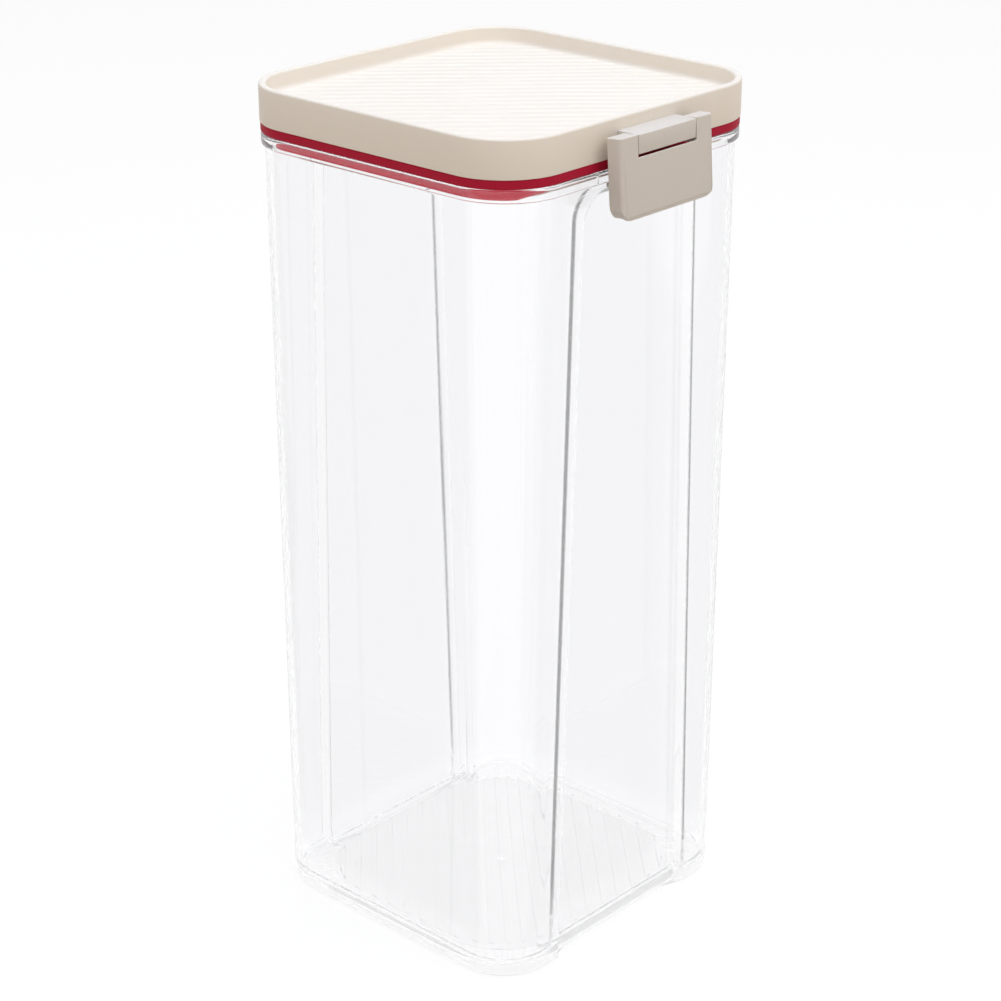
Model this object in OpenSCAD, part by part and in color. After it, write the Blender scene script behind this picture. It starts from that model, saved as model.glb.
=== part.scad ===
// Tall clear food canister with a cream lid, a red seal and a snap latch on two opposite sides.
// Origin at the middle of the base, +Z up, the front latch towards -Y, millimetres.

/* [Canister] */
// Width of the clear body, along X
body_w = 107.2; // [80:0.1:140]
// Depth of the clear body, along Y
body_d = 103.8; // [80:0.1:140]
// Radius of the four upright corners
corner_r = 18; // [10:0.5:26]
// Height of the clear body up to the top of its rim
body_h = 243.1; // [120:0.1:320]
// How much further in each side lies at the base than under the rim
draft = 1.2; // [0:0.1:2]
// Thickness of the clear wall
wall = 2; // [1.6:0.1:2.6]
// Thickness of the floor
floor_t = 3; // [2:0.1:5]
// Radius along the outer bottom edge
foot_r = 1.6; // [0.6:0.1:2.6]
// Radius between the floor and the wall inside
floor_fillet = 4; // [1:0.5:8]
// How far the rim stands out from the wall
rim_out = 1.2; // [0.8:0.1:1.3]
// Height of the rim
rim_h = 3.7; // [2.5:0.1:6]

/* [Grip recess] */
// Width of the recessed panel in the two latch sides
recess_w = 53; // [40:0.5:60]
// Depth of the recessed panel
recess_depth = 2.6; // [1:0.1:2.8]
// Distance from the underside of the rim down to the top of the panel
recess_drop = 2.9; // [2.6:0.1:20]
// Radius of the panel's upper corners
recess_r = 9; // [4:0.5:14]

/* [Base] */
// Width of the foot under the straight sides, outside the raised middle
foot_w = 8; // [5:0.5:14]
// Corner radius of the raised middle
base_r = 24; // [14:0.5:30]
// How far the middle is raised above the foot
base_rise = 0.8; // [0.4:0.1:1.2]
// Spacing of the shallow ribs on the floor
floor_rib_pitch = 5; // [3:0.5:12]
// Width of a floor rib
floor_rib_w = 1.2; // [0.6:0.1:2]
// Height of a floor rib
floor_rib_h = 0.4; // [0.2:0.1:1]
// Diameter of the stub that the mould's gate leaves under the floor
gate_d = 3; // [1:0.1:6]
// Height of that stub
gate_h = 0.5; // [0.2:0.1:0.7]

/* [Lid] */
// How far the lid stands out beyond the rim on each side
lid_over = 0.2; // [0.1:0.1:0.4]
// Height of the lid from the lower edge of its skirt to the top of its raised rim
lid_h = 11; // [10:0.1:20]
// Thickness of the raised rim and the skirt
lid_wall = 2.2; // [1.6:0.1:3]
// Depth of the tray in the top of the lid
tray_depth = 5; // [2:0.1:6]
// Thickness of the lid's top panel
panel_t = 2; // [1.4:0.1:2.6]
// Radius along the upper edges of the raised rim
lid_edge_r = 0.7; // [0.2:0.1:0.8]
// Spacing of the shallow ribs on the top panel
lid_rib_pitch = 4.7; // [3:0.1:12]
// Width of a rib on the top panel
lid_rib_w = 1.8; // [0.6:0.1:2.4]
// Height of a rib on the top panel
lid_rib_h = 0.3; // [0.2:0.1:0.8]
// Plain margin round the ribs on the top panel
lid_rib_inset = 2; // [0.5:0.5:6]

/* [Plug and seal] */
// How far the plug reaches down into the mouth
plug_depth = 3; // [2.6:0.1:10]
// Wall thickness of the plug
plug_wall = 1.8; // [1.2:0.1:3]
// Thickness of the seal's flange, seen as the coloured band
seal_t = 2.7; // [2:0.1:5]
// Thickness of the seal's collar round the plug
collar_t = 1.3; // [0.8:0.1:2]
// Gap between the sealing lip and the mouth
lip_gap = 0.25; // [0.15:0.05:0.5]
// How far the sealing lip stands out from the collar
lip_out = 0.4; // [0.2:0.1:0.8]

/* [Latch] */
// Width of a latch
latch_w = 39.5; // [30:0.5:46]
// Height of a latch
latch_h = 23.1; // [20:0.1:32]
// How far the top of a latch lies below the top of the lid
latch_drop = 3.6; // [3:0.1:6]
// How far the face of a latch stands out from the skirt
latch_out = 7.6; // [6.8:0.1:9]
// Angle by which the flap of a latch leans out towards its lower edge
latch_lean = 4; // [0:0.5:5]
// Width of the hinge lug on the lid
lug_w = 24.4; // [16:0.1:26]
// Height of the hinge lug
lug_h = 5.4; // [5:0.1:6]
// Height of the slit between the lug and the latch
slit_h = 0.7; // [0.6:0.05:1]
// Thickness of the lip under the slit, in front of its chamfer
slit_t = 0.5; // [0.4:0.1:1]
// Height of the hook that reaches in under the rim
hook_h = 3; // [1.5:0.1:4]
// How far each end of the hook lies in from the side of the latch
hook_inset = 4.5; // [2:0.5:8]
// Radius of the latch's lower corners
latch_r = 5; // [2:0.5:6]
// Radius along the upright and lower edges of the latch's face
latch_edge_r = 1.6; // [0.4:0.1:1.8]
// Thickness of the latch's face and of its side walls behind the hollow back
flap_t = 2; // [1.5:0.1:2.5]
// Distance of the hinge pin behind the face of the latch
pin_set = 2; // [1.8:0.05:2.1]
// Diameter of the hinge pin
pin_d = 2; // [1.4:0.1:2.2]
// Plastic left closed over the pin's blind end
pin_cover = 1.2; // [0.6:0.1:3]

/* [Clearances] */
// Gap between the lid's skirt and a latch's back
latch_gap = 2.8; // [2.2:0.1:3]
// Gap at each side of the hinge lug
lug_gap = 0.3; // [0.2:0.05:0.5]
// Gap between the hook and the rim, and between the hook and the wall
hook_gap = 0.35; // [0.3:0.05:0.5]
// Radial running gap of the pin in the latch
pin_gap = 0.05; // [0.02:0.01:0.1]
// Gap round the plug's flange inside the skirt
flange_gap = 0.1; // [0.05:0.05:0.3]
// Gap between the seal and the plug
seal_gap = 0.1; // [0.05:0.05:0.2]

/* [Hidden] */
$fn = 96;
eps = 0.01;
// Steps in a rounded edge's quarter turn
arc_steps = 6;

rim_w = body_w + 2 * rim_out;
rim_d = body_d + 2 * rim_out;
rim_r = corner_r + rim_out;
lid_w = rim_w + 2 * lid_over;
lid_d = rim_d + 2 * lid_over;
lid_r = rim_r + lid_over;

// Levels
rim_z = body_h - rim_h;
skirt_z = body_h + seal_t;
lid_top = skirt_z + lid_h;
panel_z = lid_top - tray_depth;
panel_under = panel_z - panel_t;
plug_z = body_h - plug_depth;
latch_top = lid_top - latch_drop;
latch_bottom = latch_top - latch_h;
lug_z = latch_top - lug_h;
notch_z = lug_z - slit_h;
hook_z = rim_z - hook_gap;
recess_top = rim_z - recess_drop;

// Distances out from the corner centres, where the body's outer wall lies at corner_r
core_w = body_w - 2 * corner_r;
core_d = body_d - 2 * corner_r;
mouth_x = corner_r - wall;
collar_x = mouth_x - lip_gap - lip_out;
plug_x = collar_x - collar_t - seal_gap;
lid_x = lid_r;

// Hinge axis, measured out from the skirt
pin_r = pin_d / 2;
pin_out = latch_out - pin_set;
pin_z = latch_top - lug_h / 2;
skirt_y = lid_d / 2;
wall_y = body_d / 2;

// The sides lean in towards the base by the draft
lean = atan(draft / rim_z);
base_w = body_w - 2 * draft;
base_y = wall_y - draft;

clear_plastic = [0.90, 0.94, 0.96, 0.45];
cream_plastic = [0.93, 0.89, 0.80];
red_silicone = [0.68, 0.10, 0.18];
pin_steel = [0.72, 0.72, 0.74];

// Quarter circle of edge points round a centre, from one angle to another
function arc(c, r, a0, a1) =
  [for (i = [0 : arc_steps]) let (a = a0 + (a1 - a0) * i / arc_steps)
    [c[0] + r * cos(a), c[1] + r * sin(a)]];

// Flat rectangle with round corners, centred
module round_rect(w, d, r) {
  square([w - 2 * r, d], center = true);
  square([w, d - 2 * r], center = true);
  for (x = [-1, 1], y = [-1, 1])
    translate([x * (w / 2 - r), y * (d / 2 - r)])
      circle(r);
}

// A wall section carried all round the four sides and corners.
// The section's x is the distance out from the line of the corner centres.
module all_round() {
  for (k = [0 : 3]) {
    along = k % 2 == 0 ? core_d : core_w;
    out = k % 2 == 0 ? core_w : core_d;
    rotate(90 * k) {
      translate([out / 2, along / 2, 0])
        rotate_extrude(angle = 90)
          children();
      translate([out / 2, along / 2, 0])
        rotate([90, 0, 0])
          linear_extrude(along)
            children();
    }
  }
}

// Plate inside the line of the corner centres, from one level to another
module core_plate(z0, z1) {
  translate([-core_w / 2, -core_d / 2, z0])
    cube([core_w, core_d, z1 - z0]);
}

// Shallow ribs on the diagonal, kept inside a round-cornered field
module rib_field(w, d, r, pitch, rib_w, angle, h) {
  reach = w + d;
  count = floor(reach / 2 / pitch);
  linear_extrude(h)
    intersection() {
      round_rect(w, d, r);
      rotate(angle)
        for (i = [-count : count])
          translate([-reach / 2, i * pitch - rib_w / 2])
            square([reach, rib_w]);
    }
}

// Outline of the grip recess on one side, grown by a margin, standing in the XZ plane
module recess_face(grow) {
  half = recess_w / 2 + grow;
  r = recess_r + grow;
  top = recess_top + grow;
  translate([-half, -foot_r])
    square([2 * half, top - r + foot_r]);
  translate([-half + r, 0])
    square([2 * (half - r), top]);
  for (x = [-1, 1])
    translate([x * (half - r), top - r])
      circle(r);
}

// Panel of that outline between two distances from the middle, on the front side.
// The distances hold under the rim, and the panel leans in with the wall.
module recess_block(grow, y0, y1) {
  translate([0, -y0, rim_z])
    rotate([90 + lean, 0, 0])
      translate([0, -rim_z, 0])
        linear_extrude(y1 - y0)
          recess_face(grow);
}

// How far in a side lies at a level
function draft_at(z) = draft * (rim_z - z) / rim_z;

module canister_wall() {
  foot_x = corner_r - draft_at(foot_r) - foot_r;
  fillet_z = floor_t + floor_fillet;
  fillet_x = mouth_x - draft_at(fillet_z) - floor_fillet;
  polygon(concat(
    [[0, 0]],
    arc([foot_x, foot_r], foot_r, -90, 0),
    [[corner_r, rim_z], [rim_r, rim_z], [rim_r, body_h], [mouth_x, body_h], [mouth_x, rim_z]],
    arc([fillet_x, fillet_z], floor_fillet, 0, -90),
    [[0, floor_t]]
  ));
}

module canister_body() {
  back = wall_y - recess_depth - wall;
  color(clear_plastic) {
    difference() {
      union() {
        all_round() canister_wall();
        core_plate(0, floor_t);
        for (a = [0, 180])
          rotate(a)
            intersection() {
              recess_block(wall, back, wall_y - wall / 2);
              translate([-body_w / 2, -body_d / 2, floor_t / 2])
                cube([body_w, body_d, body_h]);
            }
        translate([0, 0, floor_t - eps])
          rib_field(base_w - 2 * foot_w, 2 * (back - draft - floor_fillet), base_r,
                    floor_rib_pitch, floor_rib_w, 45, floor_rib_h + eps);
      }
      for (a = [0, 180])
        rotate(a)
          recess_block(0, wall_y - recess_depth, wall_y + rim_out);
      translate([0, 0, -eps])
        linear_extrude(base_rise + eps)
          round_rect(base_w - 2 * foot_w, 2 * (base_y - recess_depth) - foot_w, base_r);
    }
    translate([0, 0, base_rise - gate_h])
      cylinder(h = gate_h + eps, d = gate_d);
  }
}

module lid_section() {
  in_x = lid_x - lid_wall;
  polygon(concat(
    [[0, panel_under], [in_x, panel_under], [in_x, skirt_z], [lid_x, skirt_z]],
    arc([lid_x - lid_edge_r, lid_top - lid_edge_r], lid_edge_r, 0, 90),
    arc([in_x + lid_edge_r, lid_top - lid_edge_r], lid_edge_r, 90, 180),
    [[in_x, panel_z], [0, panel_z]]
  ));
}

module hinge_lug() {
  difference() {
    translate([-lug_w / 2, -skirt_y - latch_out, lug_z])
      cube([lug_w, latch_out + lid_wall / 2, lug_h]);
    pin_hole(pin_r);
  }
}

// Round hole along the front hinge axis
module pin_hole(r) {
  translate([-latch_w / 2 + pin_cover, -skirt_y - pin_out, pin_z])
    rotate([0, 90, 0])
      cylinder(h = latch_w, r = r);
}

module lid_cover() {
  tray_w = 2 * (core_w / 2 + lid_x - lid_wall);
  tray_d = 2 * (core_d / 2 + lid_x - lid_wall);
  color(cream_plastic) {
    all_round() lid_section();
    core_plate(panel_under, panel_z);
    translate([0, 0, panel_z - eps])
      rib_field(tray_w - 2 * lid_rib_inset, tray_d - 2 * lid_rib_inset, lid_r - lid_wall - lid_rib_inset,
                lid_rib_pitch, lid_rib_w, -45, lid_rib_h + eps);
    for (a = [0, 180])
      rotate(a)
        hinge_lug();
  }
}

module plug_section() {
  flange_x = lid_x - lid_wall - flange_gap;
  foot_t = plug_wall / 3;
  polygon([
    [0, plug_z], [collar_x - collar_t / 2, plug_z],
    [collar_x - collar_t / 2, plug_z + foot_t],
    [plug_x, plug_z + foot_t], [plug_x, skirt_z],
    [flange_x, skirt_z], [flange_x, skirt_z + plug_wall],
    [plug_x, skirt_z + plug_wall], [plug_x, panel_under],
    [plug_x - plug_wall, panel_under], [plug_x - plug_wall, plug_z + plug_wall],
    [0, plug_z + plug_wall]
  ]);
}

module lid_plug() {
  color(cream_plastic) {
    all_round() plug_section();
    core_plate(plug_z, plug_z + plug_wall);
  }
}

module seal_section() {
  in_x = plug_x + seal_gap;
  foot_z = plug_z + plug_wall / 3 + seal_gap;
  mid_z = (foot_z + body_h) / 2;
  lip_h = (body_h - foot_z) / 3;
  polygon([
    [in_x, foot_z], [collar_x, foot_z],
    [collar_x, mid_z - lip_h / 2], [collar_x + lip_out, mid_z + lip_h / 2],
    [collar_x, mid_z + lip_h], [collar_x, body_h],
    [rim_r, body_h], [rim_r, skirt_z], [in_x, skirt_z]
  ]);
}

module seal_gasket() {
  color(red_silicone)
    all_round() seal_section();
}

// Side view of a latch's flap before it leans: x is the distance out from the skirt, y is the height
module flap_side() {
  polygon(concat(
    arc([latch_out - latch_edge_r, latch_bottom + latch_edge_r], latch_edge_r, -90, 0),
    [[latch_out, latch_top], [latch_gap, latch_top], [latch_gap, latch_bottom]]
  ));
}

// Side view of the hook, which reaches from inside the flap in under the rim
module hook_side() {
  tip = lid_over + rim_out - hook_gap;
  polygon([
    [pin_out, hook_z], [-tip, hook_z], [-tip, hook_z - hook_h / 3],
    [latch_gap, hook_z - hook_h], [pin_out, hook_z - hook_h]
  ]);
}

// Side view of the notch for the lug, with a chamfer behind the thin lip under the slit
module notch_side() {
  chamfer_x = latch_out + (pin_z - notch_z) * tan(latch_lean) - slit_t;
  polygon([
    [2 * latch_out, notch_z], [chamfer_x, notch_z], [chamfer_x - flap_t, notch_z - flap_t],
    [0, notch_z - flap_t], [0, lid_top], [2 * latch_out, lid_top]
  ]);
}

// A side view of the front latch carried along X, centred
module along_latch(w) {
  translate([-w / 2, -skirt_y, 0])
    rotate([90, 0, 90])
      mirror([1, 0, 0])
        linear_extrude(w)
          children();
}

// Turned about the front hinge axis by the lean of the flap
module leant() {
  translate([0, -skirt_y - pin_out, pin_z])
    rotate([-latch_lean, 0, 0])
      translate([0, skirt_y + pin_out, -pin_z])
        children();
}

// Front view of a latch with its lower corners rounded
module latch_front() {
  half = latch_w / 2;
  translate([-half, latch_bottom + latch_r])
    square([latch_w, latch_h - latch_r]);
  translate([-half + latch_r, latch_bottom])
    square([latch_w - 2 * latch_r, latch_h]);
  for (x = [-1, 1])
    translate([x * (half - latch_r), latch_bottom + latch_r])
      circle(latch_r);
}

// View of a latch from above with the upright edges of its face rounded
module latch_plan() {
  half = latch_w / 2;
  face_y = -skirt_y - latch_out;
  translate([-half, face_y + latch_edge_r])
    square([latch_w, 2 * latch_out]);
  translate([-half + latch_edge_r, face_y])
    square([latch_w - 2 * latch_edge_r, 2 * latch_out]);
  for (x = [-1, 1])
    translate([x * (half - latch_edge_r), face_y + latch_edge_r])
      circle(latch_edge_r);
}

// Hollow in the back of a latch between two levels, behind its face
module back_pocket(z0, z1) {
  translate([-latch_w / 2 + flap_t, -skirt_y - latch_out + flap_t, z0])
    cube([latch_w - 2 * flap_t, latch_out, z1 - z0]);
}

module flap() {
  difference() {
    intersection() {
      along_latch(latch_w) flap_side();
      translate([0, -skirt_y + latch_out, 0])
        rotate([90, 0, 0])
          linear_extrude(3 * latch_out)
            latch_front();
      translate([0, 0, latch_bottom])
        linear_extrude(latch_h)
          latch_plan();
    }
    back_pocket(hook_z + flap_t, notch_z - flap_t / 2);
    back_pocket(latch_bottom - eps, hook_z - hook_h - flap_t);
  }
}

module latch() {
  color(cream_plastic)
    difference() {
      union() {
        leant() flap();
        along_latch(latch_w - 2 * hook_inset) hook_side();
      }
      along_latch(lug_w + 2 * lug_gap) notch_side();
      pin_hole(pin_r + pin_gap);
    }
}

module latch_pin() {
  color(pin_steel)
    translate([-latch_w / 2 + pin_cover + pin_gap, -skirt_y - pin_out, pin_z])
      rotate([0, 90, 0])
        cylinder(h = latch_w - pin_cover - pin_gap, r = pin_r);
}

module front_latch() { latch(); }
module front_latch_pin() { latch_pin(); }
module rear_latch() { rotate(180) latch(); }
module rear_latch_pin() { rotate(180) latch_pin(); }

canister_body();
lid_cover();
lid_plug();
seal_gasket();
front_latch();
front_latch_pin();
rear_latch();
rear_latch_pin();
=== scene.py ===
import math

import bmesh
import bpy
from mathutils import Matrix, Vector


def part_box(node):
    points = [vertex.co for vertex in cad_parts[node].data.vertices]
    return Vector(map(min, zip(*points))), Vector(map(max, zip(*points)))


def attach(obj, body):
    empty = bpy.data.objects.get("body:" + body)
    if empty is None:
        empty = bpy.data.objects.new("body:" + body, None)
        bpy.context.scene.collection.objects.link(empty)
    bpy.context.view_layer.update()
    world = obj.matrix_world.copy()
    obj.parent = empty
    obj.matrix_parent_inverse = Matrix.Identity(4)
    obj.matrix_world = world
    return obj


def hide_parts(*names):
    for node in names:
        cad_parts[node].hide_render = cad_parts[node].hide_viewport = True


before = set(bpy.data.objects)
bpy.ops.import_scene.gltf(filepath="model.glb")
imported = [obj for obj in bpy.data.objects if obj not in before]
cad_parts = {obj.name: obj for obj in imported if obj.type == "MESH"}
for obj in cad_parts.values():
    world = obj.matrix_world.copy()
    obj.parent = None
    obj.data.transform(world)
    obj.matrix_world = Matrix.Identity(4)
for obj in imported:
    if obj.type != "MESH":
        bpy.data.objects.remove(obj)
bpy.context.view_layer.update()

# Camera: a long lens a little above the lid, looking at the front left corner of the canister,
# with the latch side to the right. Angles and distance come from fitting the lid, wall and base.
MM = 0.001
IMAGE_PIXELS = 1001
focal_pixels = 2513.8
view_azimuth = math.radians(-47.49)
view_elevation = math.radians(22.68)
view_distance = 760.5 * MM
view_height = 130.0 * MM
aim_height = 126.85 * MM
aim_right = -0.17 * MM

back = Vector((
    math.sin(view_azimuth) * math.cos(view_elevation),
    -math.cos(view_azimuth) * math.cos(view_elevation),
    math.sin(view_elevation),
))
right = Vector((math.cos(view_azimuth), math.sin(view_azimuth), 0.0))
eye = Vector((0.0, 0.0, view_height)) + back * view_distance
aim = Vector((0.0, 0.0, aim_height)) + right * aim_right
camera = bpy.data.objects.new("camera", bpy.data.cameras.new("camera"))
camera.data.sensor_width = 36.0
camera.data.lens = focal_pixels / IMAGE_PIXELS * camera.data.sensor_width
camera.data.clip_start = 0.01
camera.location = eye
camera.rotation_euler = (aim - eye).to_track_quat("-Z", "Y").to_euler()
bpy.context.collection.objects.link(camera)
bpy.context.scene.camera = camera
bpy.context.scene.view_settings.view_transform = "Standard"

# Canister: one clear injection moulding in styrene plastic with a two millimetre wall.
# It has a rim round the mouth, a grip recess that runs out through the foot on the two latch
# sides, a rounded foot with a raised middle, ribs across the floor and the stub of the gate.
body_low, body_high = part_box("canister_body")
rim_out = 1.2 * MM
rim_height = 3.7 * MM
body_top = body_high[2]
body_width = body_high[0] - body_low[0] - 2 * rim_out
body_depth = body_high[1] - body_low[1] - 2 * rim_out
rim_level = body_top - rim_height
corner_radius = 18.0 * MM
rim_radius = corner_radius + rim_out
rim_edge = 0.5 * MM
rim_crown = 1.2 * MM
draft = 1.2 * MM
wall = 2.0 * MM
mouth = corner_radius - wall
floor_thickness = 3.0 * MM
floor_fillet = 4.0 * MM
foot_radius = 1.6 * MM
foot_width = 8.0 * MM
base_radius = 24.0 * MM
base_rise = 0.8 * MM
gate_radius = 1.5 * MM
gate_height = 0.5 * MM
recess_half_base = 29.2 * MM
recess_half_top = 23.0 * MM
recess_depth = 2.6 * MM
recess_radius = 9.0 * MM
recess_top = rim_level - 2.9 * MM
recess_slope = 1.2 * MM
eased_margin = 0.6 * MM
rib_pitch = 5.0 * MM
rib_width = 2.0 * MM
rib_height = 0.3 * MM
rib_slope = 0.45 * MM
tolerance = 0.1 * MM
core = (body_width / 2 - corner_radius, body_depth / 2 - corner_radius)


def spaced(start, end, count):
    """Evenly spaced values after the start, up to and including the end."""
    return [start + (end - start) * i / count for i in range(1, count + 1)]


def start_outline(bm, radius, z, columns, rows, corner_steps=20):
    """A closed rounded rectangle of edges round the corner centres, with given places on its sides."""
    half_x = core[0] + radius
    half_y = core[1] + radius
    corners = [bm.verts.new((sx * half_x, sy * half_y, z))
               for sx, sy in ((1, 1), (-1, 1), (-1, -1), (1, -1))]
    bm.faces.new(corners)
    bmesh.ops.bevel(bm, geom=corners, offset=radius, affect="VERTICES", segments=corner_steps,
                    profile=0.5, material=-1, clamp_overlap=False)
    bm.faces.ensure_lookup_table()
    for side in sorted(bm.faces[0].edges, key=lambda e: -e.calc_length())[:4]:
        axis = 0 if abs(side.verts[0].co.y - side.verts[1].co.y) < 1e-7 else 1
        places = (columns, rows)[axis]
        made = bmesh.ops.subdivide_edges(bm, edges=[side], cuts=len(places))
        inner = [g for g in made["geom_inner"] if isinstance(g, bmesh.types.BMVert)]
        for v, place in zip(sorted(inner, key=lambda v: v.co[axis]), places):
            v.co[axis] = place
    bm.faces.ensure_lookup_table()
    edges = list(bm.faces[0].edges)
    bmesh.ops.delete(bm, geom=[bm.faces[0]], context="FACES_ONLY")
    return edges


def centre_and_way_out(v, half_core):
    """The nearest point on the rectangle of corner centres, and the direction from there to a vertex."""
    centre = Vector([max(-half, min(half, place)) for half, place in zip(half_core, v.co.xy)])
    return centre, (v.co.xy - centre).normalized()


def put_outline(edges, old_core, new_core, radius, z):
    """Moves a closed outline to another rounded rectangle and level."""
    for v in {v for e in edges for v in e.verts}:
        centre, away = centre_and_way_out(v, old_core)
        v.co.x = centre.x * new_core[0] / old_core[0] + away.x * radius
        v.co.y = centre.y * new_core[1] / old_core[1] + away.y * radius
        v.co.z = z


def next_outline(bm, edges, radius, z, old_core=core, new_core=core):
    """Carries a closed outline on to a new distance from the corner centres and a new level."""
    grown = bmesh.ops.extrude_edge_only(bm, edges=edges)
    new_edges = [g for g in grown["geom"] if isinstance(g, bmesh.types.BMEdge)]
    put_outline(new_edges, old_core, new_core, radius, z)
    return new_edges


def quarter(centre_radius, centre_z, r, start, end, steps):
    """Points of a quarter circle in a wall section, as distance from the corner centres and level."""
    angles = [math.radians(start + (end - start) * i / steps) for i in range(steps + 1)]
    return [(centre_radius + r * math.cos(a), centre_z + r * math.sin(a)) for a in angles]


def close_outline(bm, edges):
    """Fills a closed outline with one flat face and returns it."""
    made = bmesh.ops.contextual_create(bm, geom=edges)
    return made["faces"][0]


def raise_ribs(bm, field, direction, pitch, width, height, slope):
    """Cuts a flat field along both edges of each diagonal rib and raises the strips between."""
    across = Vector((-direction[1], direction[0], 0)).normalized()
    count = int(max(v.co.dot(across) for v in field.verts) / pitch)
    geometry = [field] + list(field.edges) + list(field.verts)
    for i in range(-count, count + 1):
        for edge in (i * pitch - width / 2, i * pitch + width / 2):
            cut = bmesh.ops.bisect_plane(bm, geom=geometry, dist=1e-7, plane_co=across * edge,
                                         plane_no=across)
            geometry = cut["geom"]
    strips = []
    for face in (g for g in geometry if isinstance(g, bmesh.types.BMFace)):
        off = face.calc_center_median().dot(across)
        if abs(off - round(off / pitch) * pitch) < width / 2 and abs(round(off / pitch)) <= count:
            strips.append(face)
    raised = bmesh.ops.extrude_face_region(bm, geom=strips)
    bmesh.ops.delete(bm, geom=[f for f in strips if f.is_valid], context="FACES_ONLY")
    for v in (g for g in raised["geom"] if isinstance(g, bmesh.types.BMVert)):
        for e in (e for f in v.link_faces for e in f.edges):
            e.smooth = False
        off = v.co.dot(across)
        v.co -= across * (off - round(off / pitch) * pitch) * 2 * slope / width
        v.co.z += height


def finish_mesh(bm, name, smooth_degrees=32):
    """Merges doubles, turns the faces outwards and makes the object."""
    bmesh.ops.remove_doubles(bm, verts=bm.verts, dist=1e-6)
    bmesh.ops.recalc_face_normals(bm, faces=bm.faces)
    for f in bm.faces:
        f.smooth = True
    for e in bm.edges:
        if e.calc_face_angle(0.0) > math.radians(smooth_degrees):
            e.smooth = False
    mesh = bpy.data.meshes.new(name)
    bm.to_mesh(mesh)
    bm.free()
    piece = bpy.data.objects.new(name, mesh)
    bpy.context.collection.objects.link(piece)
    return piece


def draft_at(z):
    """How far in a side lies at a level: nothing under the rim, the full draft at the base."""
    return draft * (rim_level - z) / rim_level


def recess_half(z):
    """Half the width of the recess at a level: its sides lean towards each other up to its top."""
    return recess_half_base + (recess_half_top - recess_half_base) * min(1.0, z / recess_top)


def recess_amount(x, z, grow, slope):
    """How much of the recess depth a place on the latch sides has: one inside, none outside."""
    dx = abs(x) - (recess_half(z) + grow - recess_radius)
    dz = z - (recess_top + grow - recess_radius)
    inside = recess_radius - (math.hypot(dx, dz) if dx > 0 and dz > 0 else max(dx, dz))
    t = max(0.0, min(1.0, (inside + slope / 2) / slope))
    return t * t * (3 - 2 * t)


# The latch sides get closer places where the edge of the recess turns its upper corners.
fine_from = recess_half_top - recess_radius
fine_to = recess_half_top + wall + recess_slope
half_columns = spaced(0, fine_from, 4) + spaced(fine_from, fine_to, 52)
half_columns += spaced(fine_to, core[0], 4)[:-1]
columns = [-c for c in reversed(half_columns)] + [0.0] + half_columns
rows = spaced(-core[1], core[1], 9)[:-1]
fine_low = recess_top - recess_radius - recess_slope
levels = spaced(floor_thickness + floor_fillet, fine_low, 12)
levels += spaced(fine_low, rim_level - rim_edge, 54)[:-1]

bm = bmesh.new()
base_core = (body_width / 2 - draft - foot_width - base_radius,
             body_depth / 2 - draft - recess_depth - foot_width / 2 - base_radius)
foot_outer = corner_radius - draft_at(foot_radius)
foot = start_outline(bm, foot_outer - foot_radius, 0.0, columns, rows)
under = next_outline(bm, foot, base_radius, 0.0, core, base_core)
under = next_outline(bm, under, base_radius, base_rise, base_core, base_core)
gate_core = (0.01 * MM, 0.01 * MM)  # the gate is round, so its corner centres all but meet
under = next_outline(bm, under, gate_radius, base_rise, base_core, gate_core)
under = next_outline(bm, under, gate_radius, base_rise - gate_height, gate_core, gate_core)
close_outline(bm, under)
outline = foot
for radius, z in quarter(foot_outer - foot_radius, foot_radius, foot_radius, -90, 0, 6)[1:]:
    outline = next_outline(bm, outline, radius, z)
for z in levels:
    outline = next_outline(bm, outline, corner_radius - draft_at(z), z)
rim_section = quarter(corner_radius + rim_edge, rim_level - rim_edge, rim_edge, 180, 90, 4)
rim_section += quarter(rim_radius - rim_edge, rim_level + rim_edge, rim_edge, -90, 0, 4)
rim_section += quarter(rim_radius - rim_crown, body_top - rim_crown, rim_crown, 0, 90, 6)
rim_section += quarter(mouth + rim_edge, body_top - rim_edge, rim_edge, 90, 180, 4)
for radius, z in rim_section:
    outline = next_outline(bm, outline, radius, z)
for z in [rim_level] + levels[::-1]:
    outline = next_outline(bm, outline, mouth - draft_at(z), z)
fillet_level = floor_thickness + floor_fillet
fillet_radius = mouth - draft_at(fillet_level) - floor_fillet
for radius, z in quarter(fillet_radius, fillet_level, floor_fillet, 0, -90, 8):
    outline = next_outline(bm, outline, radius, z)
field_core = (base_core[0], base_core[1] + foot_width / 2 - wall - floor_fillet)
outline = next_outline(bm, outline, base_radius, floor_thickness, core, field_core)
field = close_outline(bm, outline)

# The latch sides sink by the depth of the recess, inside and outside alike, and their columns lean with
# its sides. The vertices on the slope round it are kept for the material.
recess_from = core[1] + fillet_radius - tolerance
eased = set()
for v in bm.verts:
    if abs(v.co.y) > recess_from and abs(v.co.x) < core[0] and v.co.z < rim_level - rim_edge:
        middle = core[1] + corner_radius - draft_at(v.co.z) - wall / 2
        inside = v.co.z > floor_thickness - tolerance and abs(v.co.y) < middle
        across = abs(v.co.x)
        lean = recess_half(v.co.z) - recess_half_top
        if across > fine_to:
            across += lean * (core[0] - across) / (core[0] - fine_to)
        else:
            across += lean * min(1.0, across / fine_from)
        v.co.x = math.copysign(across, v.co.x)
        grow = wall if inside else 0.0
        amount = recess_amount(v.co.x, v.co.z, grow, recess_slope)
        v.co.y -= math.copysign(recess_depth * amount, v.co.y)
        if 0.0 < recess_amount(v.co.x, v.co.z, grow, recess_slope + eased_margin) < 1.0:
            eased.add(v)
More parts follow.
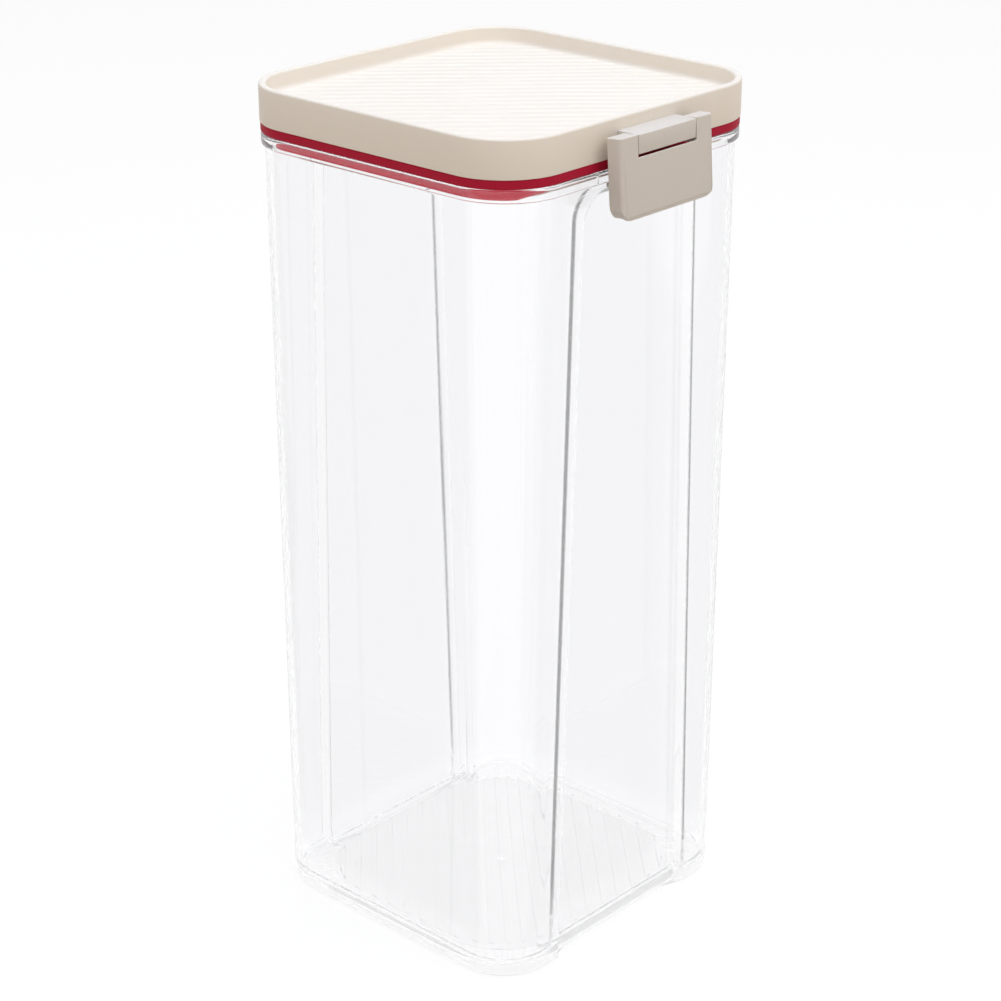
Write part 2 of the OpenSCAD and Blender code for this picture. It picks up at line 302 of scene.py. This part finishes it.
for f in bm.faces:
    centre = f.calc_center_median()
    if centre.z < base_rise + tolerance and centre.xy.length > gate_radius + tolerance:
        f.material_index = 1
    elif eased.intersection(f.verts):
        f.material_index = 2
raise_ribs(bm, field, (1, 1), rib_pitch, rib_width, rib_height, rib_slope)
canister = finish_mesh(bm, "clear_canister")


def linear(hex_colour):
    """An sRGB hex colour as linear RGBA."""
    parts = [int(hex_colour[i:i + 2], 16) / 255 for i in (1, 3, 5)]
    return [p / 12.92 if p <= 0.04045 else ((p + 0.055) / 1.055) ** 2.4 for p in parts] + [1.0]


def add(tree, kind, inputs=None, **settings):
    """Adds a node: settings are its properties, inputs its sockets' values or links."""
    made = tree.nodes.new(kind)
    for key, value in settings.items():
        setattr(made, key, value)
    for key, value in (inputs or {}).items():
        if isinstance(value, bpy.types.NodeSocket):
            tree.links.new(value, made.inputs[key])
        else:
            made.inputs[key].default_value = value
    return made


def new_material(name):
    """An empty node material, its tree and the place on the object that its patterns start from."""
    material = bpy.data.materials.new(name)
    material.use_nodes = True
    tree = material.node_tree
    tree.nodes.clear()
    return material, tree, add(tree, "ShaderNodeTexCoord").outputs["Object"]


def wire_shader(tree, inputs):
    """Adds the shader with its values and links, and joins it to the output."""
    shader = add(tree, "ShaderNodeBsdfPrincipled", inputs)
    add(tree, "ShaderNodeOutputMaterial", {"Surface": shader.outputs["BSDF"]})


# Clear styrene acrylonitrile, moulded in a polished tool: a trace of lavender, a hard gloss, and
# the slow waviness of flow marks that shifts what is seen through it. Part of the light goes straight
# through, so that the wall's edges show grey and not black.
def clear_plastic(name, alpha, spacing, smoothest, roughest, wave):
    """Clear plastic with an uneven polish: noise of a given spacing sets its roughness and waves."""
    material, tree, place = new_material(name)
    pattern = {"Vector": place, "Scale": 1 / spacing, "Detail": 1.0}
    uneven = add(tree, "ShaderNodeTexNoise", pattern).outputs["Fac"]
    polish = add(tree, "ShaderNodeMapRange", {"Value": uneven, "To Min": smoothest, "To Max": roughest})
    waves = add(tree, "ShaderNodeBump", {"Height": uneven, "Strength": 0.06, "Distance": wave})
    wire_shader(tree, {
        "Base Color": linear("#FEFEFF"),
        "Transmission Weight": 1.0,
        "IOR": 1.5,
        "Alpha": alpha,
        "Roughness": polish.outputs["Result"],
        "Normal": waves.outputs["Normal"],
    })
    return material


# Polished walls, the underside scuffed by shelves, and the eased edges of the recess.
canister.data.materials.append(clear_plastic("moulded_clear_san", 0.95, 22.0 * MM, 0.01, 0.035, 0.2 * MM))
canister.data.materials.append(clear_plastic("scuffed_clear_san", 0.4, 0.8 * MM, 0.25, 0.45, 0.02 * MM))
canister.data.materials.append(clear_plastic("eased_clear_san", 0.35, 22.0 * MM, 0.01, 0.035, 0.2 * MM))
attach(canister, "canister")
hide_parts("canister_body")

# Lid: one cream polypropylene moulding with a raised rim round a ribbed tray, so that another
# canister can stand on it, and a hinge lug in the middle of the two latch sides.
lid_low, lid_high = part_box("lid_cover")
lid_radius = rim_radius + 0.2 * MM
lid_wall = 2.2 * MM
lid_edge = 0.7 * MM
skirt_edge = 0.3 * MM
tray_fillet = 1.2 * MM
tray_margin = 2.0 * MM
tray_rib_pitch = 4.7 * MM
tray_rib_width = 1.8 * MM
tray_rib_height = 0.25 * MM
tray_rib_slope = 0.35 * MM
lid_top = lid_high[2]
skirt_level = lid_low[2]
tray_depth = 5.0 * MM
panel_thickness = 2.0 * MM
tray_level = lid_top - tray_depth
panel_under = tray_level - panel_thickness
tray_radius = lid_radius - lid_wall
side_columns = spaced(-core[0], core[0], 9)[:-1]
bm = bmesh.new()
tray = start_outline(bm, tray_radius - tray_fillet, tray_level, side_columns, rows)
section = quarter(tray_radius - tray_fillet, tray_level + tray_fillet, tray_fillet, -90, 0, 4)[1:]
section += quarter(tray_radius + lid_edge, lid_top - lid_edge, lid_edge, 180, 90, 4)
section += quarter(lid_radius - lid_edge, lid_top - lid_edge, lid_edge, 90, 0, 4)
section += quarter(lid_radius - skirt_edge, skirt_level + skirt_edge, skirt_edge, 0, -90, 3)
section += [(tray_radius, skirt_level), (tray_radius, panel_under)]
outline = tray
for radius, z in section:
    outline = next_outline(bm, outline, radius, z)
close_outline(bm, outline)
rib_field = close_outline(bm, next_outline(bm, tray, tray_radius - tray_margin, tray_level))
raise_ribs(bm, rib_field, (1, -1), tray_rib_pitch, tray_rib_width, tray_rib_height, tray_rib_slope)

lug_width = 24.4 * MM
lug_height = 5.4 * MM
lug_edge = 0.3 * MM
lug_drop = 3.6 * MM
lug_top = lid_top - lug_drop
lug_inner = core[1] + lid_radius - lid_wall / 2
for reach in (lid_low[1], lid_high[1]):
    inner = math.copysign(lug_inner, reach)
    size = Matrix.Diagonal((lug_width, abs(reach - inner), lug_height, 1))
    place = Matrix.Translation((0, (inner + reach) / 2, lug_top - lug_height / 2)) @ size
    made = bmesh.ops.create_cube(bm, size=1.0, matrix=place)
    edges = list({e for v in made["verts"] for e in v.link_edges})
    # The lug faces take the darker cream copy, painted shade.
    for f in {f for v in made["verts"] for f in v.link_faces}:
        f.material_index = 1
    bmesh.ops.bevel(bm, geom=edges, offset=lug_edge, affect="EDGES", segments=2, profile=0.5, material=-1)
lid = finish_mesh(bm, "cream_lid")

tone_drift = 30.0 * MM
tool_grain = 0.55 * MM
grain_depth = 0.05 * MM
light_depth = 2.0 * MM


# Cream polypropylene from a finely eroded tool: satin, a little light goes into it, and the tone
# drifts slightly over a few centimetres. The lugs and latches are the same cream plastic, but get a
# darker, greyer copy of it: that is painted shade.
def satin_plastic(name, low, high):
    """Satin moulded polypropylene in a tone between two sRGB colours."""
    material, tree, place = new_material(name)
    drift = add(tree, "ShaderNodeTexNoise", {"Vector": place, "Scale": 1 / tone_drift, "Detail": 2.0})
    grain = add(tree, "ShaderNodeTexNoise", {"Vector": place, "Scale": 1 / tool_grain, "Detail": 3.0})
    tones = {"Factor": drift.outputs["Fac"], "A": linear(low), "B": linear(high)}
    tone = add(tree, "ShaderNodeMix", tones, data_type="RGBA")
    sheen = add(tree, "ShaderNodeMapRange", {"Value": grain.outputs["Fac"], "To Min": 0.38, "To Max": 0.5})
    relief = {"Height": grain.outputs["Fac"], "Strength": 0.12, "Distance": grain_depth}
    pits = add(tree, "ShaderNodeBump", relief)
    wire_shader(tree, {
        "Base Color": tone.outputs["Result"],
        "IOR": 1.49,
        "Subsurface Weight": 0.12,
        "Subsurface Radius": (1.0, 0.75, 0.5),
        "Subsurface Scale": light_depth,
        "Roughness": sheen.outputs["Result"],
        "Normal": pits.outputs["Normal"],
    })
    return material


cream_plastic = satin_plastic("satin_cream_polypropylene", "#EFE6D7", "#F2EADD")
# The latch colours are the lid's cream made darker and greyer, as painted shade.
shaded_latch_plastic = satin_plastic("satin_latch_cream_painted_shade", "#D8D1C6", "#DCD5CB")
lid.data.materials.append(cream_plastic)
lid.data.materials.append(shaded_latch_plastic)
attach(lid, "lid")
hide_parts("lid_cover")

# Inner plug: a shallow tray moulded in the lid's own cream plastic and welded under it.
# It reaches into the mouth, and the seal sits round it.
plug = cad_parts["lid_plug"]
plug.data.materials.clear()
plug.data.materials.append(cream_plastic)

# Seal: a moulded red silicone ring. Its flange shows as the band between the lid and the rim, and its
# collar and lip go down into the mouth round the plug. On the sides without a latch a thin wiper under
# the collar goes deeper, and it runs out round the corners.
seal_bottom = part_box("seal_gasket")[0][2]
seal_edge = 0.35 * MM
lip = 0.4 * MM
lip_gap = 0.25 * MM
collar_thickness = 1.3 * MM
collar_outer = mouth - lip_gap - lip
collar_inner = collar_outer - collar_thickness
lip_level = (seal_bottom + body_top) / 2
wiper_thickness = 0.55 * MM
wiper_inner = collar_outer - wiper_thickness
wiper_depth = 1.1 * MM
wiper_bottom = seal_bottom - wiper_depth
wiper_left = 0.05  # share of its depth that is left on the latch sides
wiper_ends_from = 0.8  # how squarely a place faces the latch side where the wiper starts to run out
wiper_ends_over = 0.18
bm = bmesh.new()
first = start_outline(bm, collar_inner, skirt_level, side_columns, rows)
section = [(collar_inner, seal_bottom), (wiper_inner, seal_bottom), (wiper_inner, wiper_bottom),
           (collar_outer, wiper_bottom), (collar_outer, lip_level - lip),
           (collar_outer + lip, lip_level + lip), (collar_outer, lip_level + 2 * lip),
           (collar_outer, body_top)]
section += quarter(rim_radius - seal_edge, body_top + seal_edge, seal_edge, -90, 0, 3)
section += quarter(rim_radius - seal_edge, skirt_level - seal_edge, seal_edge, 0, 90, 3)
outline = first
for radius, z in section:
    outline = next_outline(bm, outline, radius, z)
bmesh.ops.bridge_loops(bm, edges=outline + first)
for v in (v for v in bm.verts if v.co.z < seal_bottom - wiper_depth / 2):
    facing_latch = abs(centre_and_way_out(v, core)[1].y)
    run_out = max(0.0, min(1.0, (facing_latch - wiper_ends_from) / wiper_ends_over))
    v.co.z += (1 - wiper_left) * wiper_depth * run_out
# Faces in the mouth take the lighter red, painted light on the collar.
for f in bm.faces:
    in_mouth = f.calc_center_median().z < body_top - tolerance
    f.material_index = 1 if in_mouth else 0
seal = finish_mesh(bm, "red_seal", 40)
bloom_size = 3.0 * MM


# Red silicone rubber, matte from a blasted tool, with a faint bloom over its tone. The collar behind
# the clear rim gets a lighter red: painted light, standing in for the light that reaches it through the
# rim.
def silicone(name, low, high):
    """Matte silicone rubber in a tone between two sRGB colours."""
    material, tree, place = new_material(name)
    pattern = {"Vector": place, "Scale": 1 / bloom_size, "Detail": 3.0}
    bloom = add(tree, "ShaderNodeTexNoise", pattern).outputs["Fac"]
    tones = {"Factor": bloom, "A": linear(low), "B": linear(high)}
    tone = add(tree, "ShaderNodeMix", tones, data_type="RGBA")
    sheen = add(tree, "ShaderNodeMapRange", {"Value": bloom, "To Min": 0.5, "To Max": 0.65})
    wire_shader(tree, {
        "Base Color": tone.outputs["Result"],
        "IOR": 1.41,
        "Specular IOR Level": 0.25,
        "Roughness": sheen.outputs["Result"],
    })
    return material


seal.data.materials.append(silicone("matte_red_silicone", "#AD0E2E", "#B51436"))
# The lighter red of the collar is painted light.
seal.data.materials.append(silicone("red_silicone_painted_light", "#E6183A", "#EE2044"))
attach(seal, "lid")
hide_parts("seal_gasket")

# Latches: a cream flap on each latch side, moulded in polypropylene like the lid. It hangs on a pin
# through the lid's lug, and the hook behind it snaps under the rim. The tool eases its edges.
latch_edge = 0.22 * MM
for name in ("front_latch", "rear_latch"):
    bm = bmesh.new()
    bm.from_mesh(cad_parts[name].data)
    bmesh.ops.remove_doubles(bm, verts=bm.verts, dist=1e-6)
    bmesh.ops.dissolve_limit(bm, angle_limit=math.radians(1), verts=bm.verts, edges=bm.edges)
    flap = finish_mesh(bm, "cream_" + name, 30)
    ease = flap.modifiers.new("eased_edges", "BEVEL")
    ease.width = latch_edge
    ease.use_clamp_overlap = False
    ease.segments = 3
    ease.limit_method = "ANGLE"
    ease.angle_limit = math.radians(35)
    ease.harden_normals = True
    flap.data.materials.clear()
    # The flaps take the darker cream copy of the lid's plastic, painted shade.
    flap.data.materials.append(shaded_latch_plastic)
    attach(flap, name)
    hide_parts(name)

# Hinge pins: straight lengths of drawn stainless wire, cut off and pushed in from one side.
# They sit tight in the lid's lugs. Drawing leaves a fine, slightly uneven polish.
steel, tree, place = new_material("drawn_stainless_wire")
draw_marks = 0.2 * MM
pattern = {"Vector": place, "Scale": 1 / draw_marks, "Detail": 2.0}
scratches = add(tree, "ShaderNodeTexNoise", pattern).outputs["Fac"]
polish = add(tree, "ShaderNodeMapRange", {"Value": scratches, "To Min": 0.25, "To Max": 0.4})
wire_shader(tree, {
    "Base Color": linear("#C4C4C8"),
    "Metallic": 1.0,
    "Roughness": polish.outputs["Result"],
})
for name in ("front_latch_pin", "rear_latch_pin"):
    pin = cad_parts[name]
    pin.data.materials.clear()
    pin.data.materials.append(steel)

# Studio: a wide pale floor, a large cool soft light overhead, two weaker warm ones from the left and
# the right, and an even surround, warm in what it lights and plain white where it is seen or mirrored.
floor_half = 4.0
bm = bmesh.new()
bmesh.ops.create_grid(bm, x_segments=1, y_segments=1, size=floor_half)
floor = finish_mesh(bm, "floor")
floor_paint = bpy.data.materials.new("pale_floor")
floor_paint.use_nodes = True
world = bpy.data.worlds.new("white_studio")
world.use_nodes = True
bpy.context.scene.world = world


def seen_or_lit(tree, lit, seen, mirrored, output):
    """Wires one shader for the rays that light things, one for what is seen, one for what plastic shows."""
    rays = add(tree, "ShaderNodeLightPath")
    either = {0: rays.outputs["Is Transmission Ray"], 1: rays.outputs["Is Glossy Ray"]}
    showing = add(tree, "ShaderNodeMath", either, operation="MAXIMUM").outputs[0]
    unseen = add(tree, "ShaderNodeMixShader", {0: showing, 1: lit.outputs[0], 2: mirrored.outputs[0]})
    ways = {0: rays.outputs["Is Camera Ray"], 1: unseen.outputs[0], 2: seen.outputs[0]}
    add(tree, output, {"Surface": add(tree, "ShaderNodeMixShader", ways).outputs[0]})


tree = floor_paint.node_tree
tree.nodes.clear()
plain = add(tree, "ShaderNodeBsdfDiffuse", {"Color": linear("#EADFD2")})
thin = add(tree, "ShaderNodeBsdfDiffuse", {"Color": linear("#707070")})
glow = add(tree, "ShaderNodeEmission", {"Color": (1, 1, 1, 1), "Strength": 0.88})
both = add(tree, "ShaderNodeAddShader", {0: thin.outputs[0], 1: glow.outputs[0]})
white = add(tree, "ShaderNodeEmission", {"Color": (1, 1, 1, 1), "Strength": 1.0})
seen_or_lit(tree, plain, both, white, "ShaderNodeOutputMaterial")
floor.data.materials.append(floor_paint)

tree = world.node_tree
tree.nodes.clear()
fill = add(tree, "ShaderNodeBackground", {"Color": (1.0, 0.93, 0.86, 1), "Strength": 0.42})
white = add(tree, "ShaderNodeBackground", {"Color": (1, 1, 1, 1), "Strength": 1.0})
seen_or_lit(tree, fill, white, white, "ShaderNodeOutputWorld")

light_aim = Vector((0, 0, 0.15))


def soft_light(name, place, size, watts, colour):
    """A square soft box that points at the canister."""
    lamp = bpy.data.objects.new(name, bpy.data.lights.new(name, "AREA"))
    lamp.data.size = size
    lamp.data.energy = watts
    lamp.data.color = colour
    lamp.location = place
    lamp.rotation_euler = (light_aim - Vector(place)).to_track_quat("-Z", "Y").to_euler()
    bpy.context.collection.objects.link(lamp)


soft_light("overhead", (0.0, -0.05, 1.3), 1.0, 10.7, (0.675, 0.78, 1.0))
soft_light("left", (-1.2, -0.4, 0.8), 0.8, 1.6, (1.0, 0.95, 0.9))
soft_light("right", (0.3, -1.0, 1.1), 0.8, 3.2, (1.0, 0.95, 0.9))
